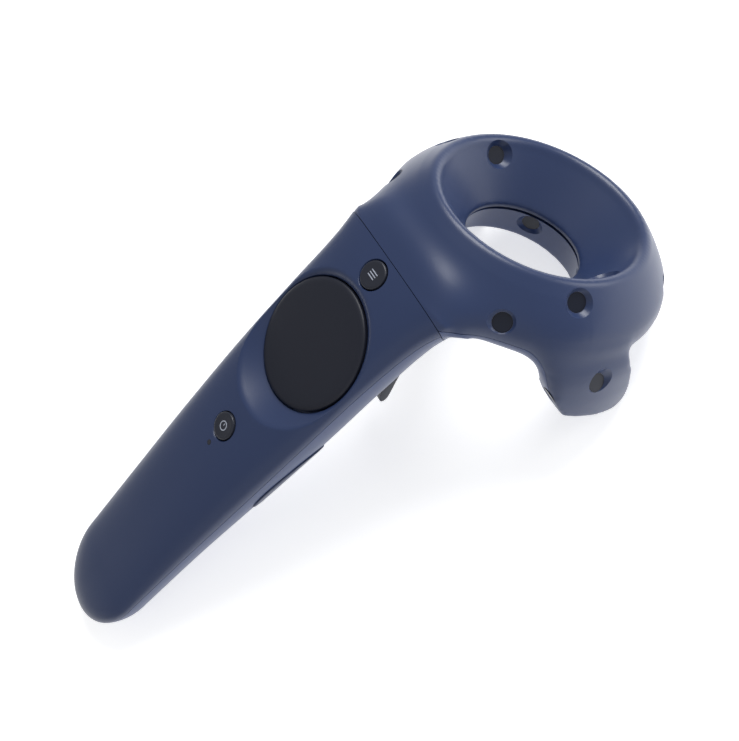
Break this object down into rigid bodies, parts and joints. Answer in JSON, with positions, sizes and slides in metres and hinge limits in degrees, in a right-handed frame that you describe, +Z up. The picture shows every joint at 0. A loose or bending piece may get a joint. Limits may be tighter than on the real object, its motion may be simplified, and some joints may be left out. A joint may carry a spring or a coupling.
{
  "type": "vr motion controller",
  "caption": "Handheld motion controller: a tapered grip with a round trackpad, side grip buttons and a trigger, and a tilted tracking ring with two side lobes.",
  "frame": {"origin": "centre of the bounding box in plan, on the table the controller rests on", "axes": "+Y from the handle's butt to the ring, +X to the right seen from above with the butt nearest, +Z up; the handle lies tilted 22 degrees as it rests on its butt and its two lobes"},
  "size_m": [0.102, 0.2258, 0.0667],
  "materials": {
    "upper_shell": "fine satin texture, navy blue",
    "lower_shell": "fine satin texture, slightly lighter navy",
    "grip_plastic": "smooth satin",
    "trackpad_black": "smooth matte, near black",
    "button_grey": "smooth matte",
    "trigger_plastic": "smooth satin",
    "sensor_window": "dark and glossy, clear to infrared",
    "light_pipe": "smoked and glossy",
    "steel": "plain steel",
    "switch_metal": "tinned sheet steel",
    "circuit_board": "green solder mask",
    "chip_black": "moulded black",
    "inner_plastic": "plain moulded black",
    "flex_film": "amber film",
    "antenna_brass": "bare stamped",
    "battery_foil": "foil pouch",
    "foam_pad": "soft foam"
  },
  "bodies": {
    "housing": {"handle_top_shell": "upper_shell", "handle_bottom_shell": "lower_shell", "lanyard_pin": "steel", "head_upper_shell": "upper_shell", "head_lower_shell": "lower_shell", "sensor_windows_upper": "sensor_window", "sensor_windows_lower": "sensor_window", "photodiodes_upper": "chip_black", "photodiodes_lower": "chip_black", "sensor_boards_upper": "circuit_board", "sensor_boards_lower": "circuit_board", "head_frame": "inner_plastic", "sensor_flex": "flex_film", "head_board": "circuit_board", "head_screws": "steel", "trackpad_switch": "switch_metal", "trackpad_frame": "inner_plastic", "trackpad_cable": "flex_film", "menu_switch": "switch_metal", "system_switch": "switch_metal", "menu_board": "circuit_board", "button_board": "circuit_board", "status_light_pipe": "light_pipe", "status_led": "switch_metal", "grip_switches": "switch_metal", "grip_switch_boards": "circuit_board", "trigger_pin": "steel", "trigger_bracket": "switch_metal", "trigger_hall_board": "circuit_board", "trigger_click_switch": "chip_black", "trigger_spring": "steel", "main_board": "circuit_board", "main_processor": "chip_black", "radio_shield": "switch_metal", "board_connectors": "chip_black", "antenna": "antenna_brass", "handle_frame": "inner_plastic", "battery": "battery_foil", "battery_pad": "foam_pad", "battery_tray": "inner_plastic", "battery_lead": "flex_film", "haptic_actuator": "steel", "haptic_bracket": "switch_metal", "charging_port": "switch_metal", "charging_tongue": "chip_black", "charging_board": "circuit_board", "handle_screws": "steel", "head_cable": "flex_film"},
    "trackpad_part": {"trackpad_cap": "trackpad_black", "trackpad_touch_board": "circuit_board", "trackpad_plunger": "inner_plastic"},
    "menu_part": {"menu_button": "button_grey"},
    "system_part": {"system_button": "button_grey"},
    "grip_right_part": {"grip_button_right": "grip_plastic"},
    "grip_left_part": {"grip_button_left": "grip_plastic"},
    "trigger_part": {"trigger": "trigger_plastic", "trigger_magnet": "steel"}
  },
  "joints": [
    {"name": "trackpad_press", "type": "slide", "parent": "housing", "child": "trackpad_part", "axis": [0, 0.3738, -0.9275], "range_m": [0, 0.0005], "stiffness_N_per_m": 1500, "springref_m": -0.0002},
    {"name": "menu_press", "type": "slide", "parent": "housing", "child": "menu_part", "axis": [0, 0.2071, -0.9783], "range_m": [0, 0.0005], "stiffness_N_per_m": 600, "springref_m": -0.0002},
    {"name": "system_press", "type": "slide", "parent": "housing", "child": "system_part", "axis": [0, 0.3738, -0.9275], "range_m": [0, 0.0005], "stiffness_N_per_m": 600, "springref_m": -0.0002},
    {"name": "grip_right_press", "type": "slide", "parent": "housing", "child": "grip_right_part", "axis": [-1, 0, 0], "range_m": [0, 0.0007], "stiffness_N_per_m": 800, "springref_m": -0.0002},
    {"name": "grip_left_press", "type": "slide", "parent": "housing", "child": "grip_left_part", "axis": [1, 0, 0], "range_m": [0, 0.0007], "stiffness_N_per_m": 800, "springref_m": -0.0002},
    {"name": "trigger_pull", "type": "hinge", "parent": "housing", "child": "trigger_part", "pos_m": [0, 0.0329, 0.04532], "axis": [-1, 0, 0], "range_deg": [0, 16], "stiffness_Nm_per_rad": 0.06, "springref_deg": -6.88, "deforming": ["trigger_spring"]}
  ]
}
